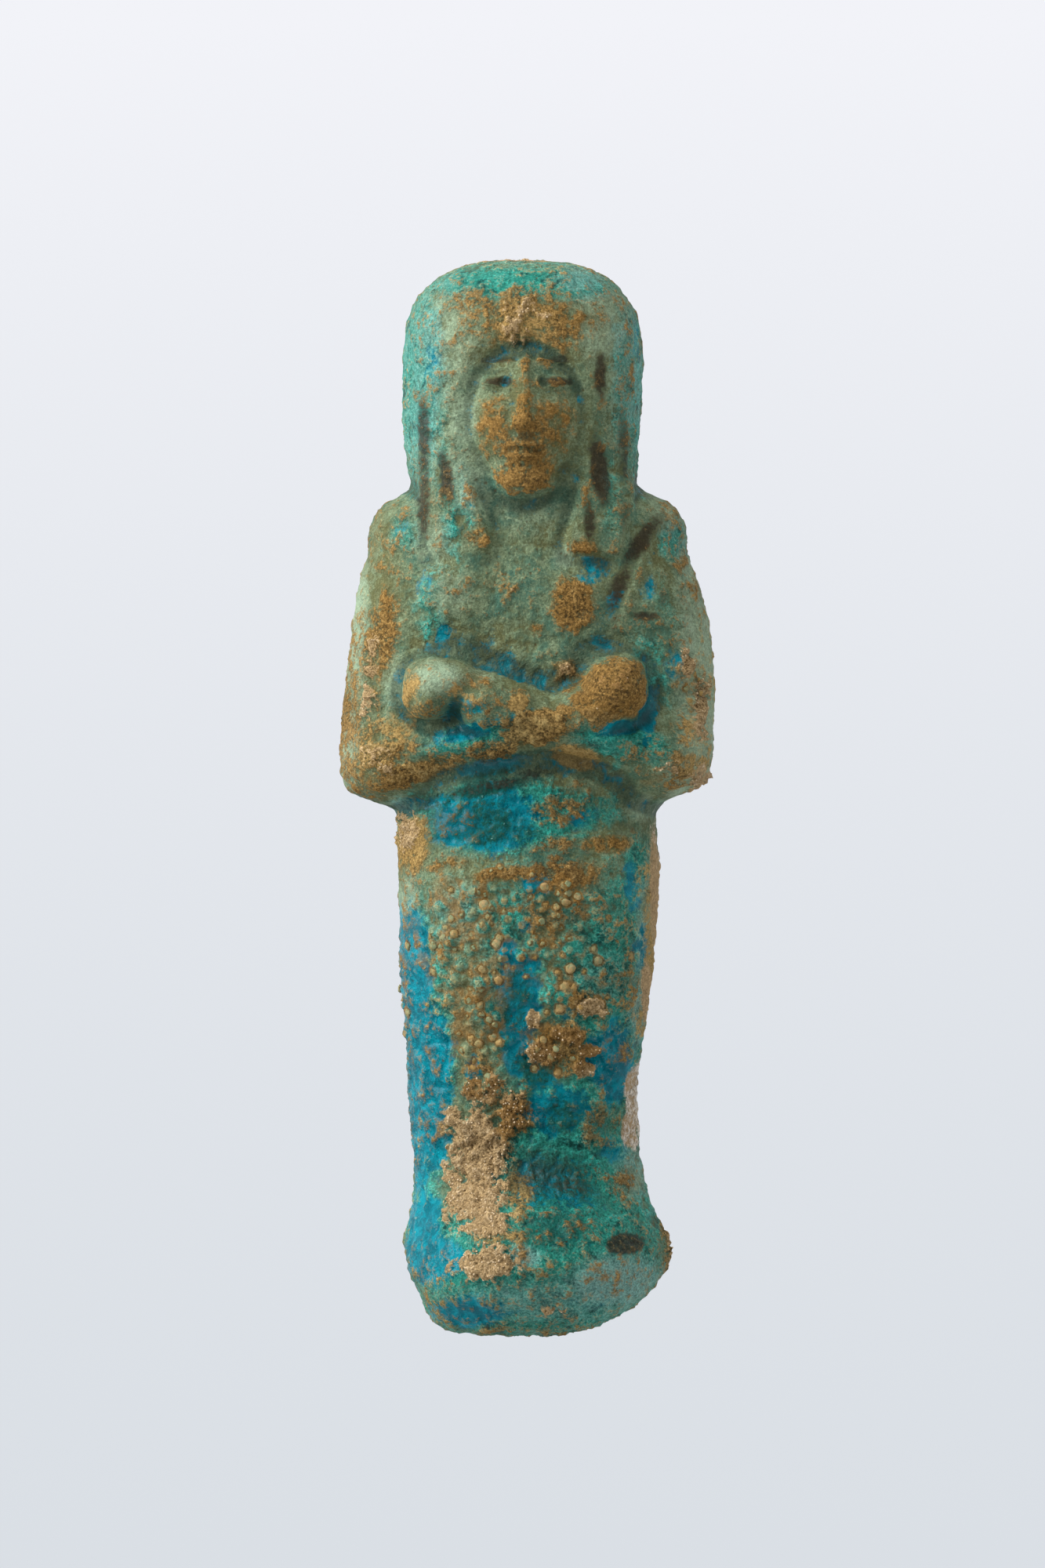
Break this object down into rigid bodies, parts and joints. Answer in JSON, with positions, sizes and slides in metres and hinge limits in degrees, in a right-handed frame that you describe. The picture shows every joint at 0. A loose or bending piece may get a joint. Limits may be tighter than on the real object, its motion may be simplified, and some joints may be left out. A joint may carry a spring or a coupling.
{
  "type": "ushabti figurine",
  "caption": "Mummy-shaped funerary figurine with a long wig, crossed forearms and closed fists, wrapped legs and a flared foot, in worn blue-green glaze, lying on its back.",
  "frame": {"origin": "on the surface the figurine lies on, under the middle of its bounding box", "axes": "+Y from the sole to the crown, +Z from the back up to the front of the figure, +X to the right of someone who looks down on it"},
  "size_m": [0.0316, 0.09, 0.0208],
  "materials": {
    "faience": "worn blue-green glaze with brown burial crust"
  },
  "bodies": {
    "root": {"ushabti": "faience"}
  },
  "joints": []
}
